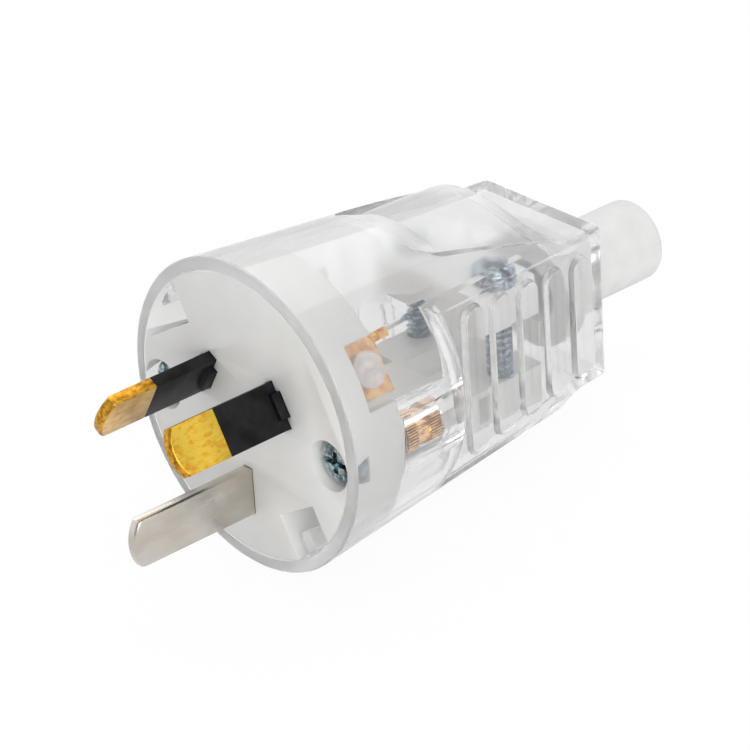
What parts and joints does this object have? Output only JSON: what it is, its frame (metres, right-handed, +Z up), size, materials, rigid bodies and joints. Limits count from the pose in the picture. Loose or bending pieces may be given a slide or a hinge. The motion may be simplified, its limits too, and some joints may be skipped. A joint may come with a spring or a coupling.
{
  "type": "rewireable three-pin mains plug",
  "caption": "Rewireable mains plug with flat angled pins, a tapered clear cover with a ribbed grip, a white base with brass terminals and a soft cable sleeve.",
  "frame": {"origin": "centre of the plug's face, between the pins, in the plane that meets the socket", "axes": "+Y along the plug's axis towards the cable sleeve, the pins point to -Y; +Z up, opposite the earth pin; +X to the right seen from the pin side"},
  "size_m": [0.0418, 0.0875, 0.0418],
  "materials": {
    "clear_cover": "clear polished polycarbonate",
    "white_base": "milky white satin plastic",
    "pin_brass": "brushed bare brass",
    "earth_plating": "nickel-plated brass, brushed",
    "black_sleeve": "matt black insulation",
    "terminal_brass": "drawn brass",
    "zinc_screw": "zinc-plated steel",
    "insert_brass": "knurled brass",
    "white_clamp": "white moulded plastic",
    "cable_sleeve": "matt white soft plastic"
  },
  "bodies": {
    "root": {"clear_cover": "clear_cover", "pin_base": "white_base", "active_pin": "pin_brass", "neutral_pin": "pin_brass", "earth_pin": "earth_plating", "active_pin_sleeve": "black_sleeve", "neutral_pin_sleeve": "black_sleeve", "active_terminal": "terminal_brass", "neutral_terminal": "terminal_brass", "earth_terminal": "terminal_brass", "active_terminal_screw": "zinc_screw", "neutral_terminal_screw": "zinc_screw", "earth_terminal_screw": "zinc_screw", "right_assembly_screw": "zinc_screw", "left_assembly_screw": "zinc_screw", "right_knurled_insert": "insert_brass", "left_knurled_insert": "insert_brass", "cord_clamp_bar": "white_clamp", "right_clamp_screw": "zinc_screw", "left_clamp_screw": "zinc_screw", "cable_sleeve": "cable_sleeve"}
  },
  "joints": []
}
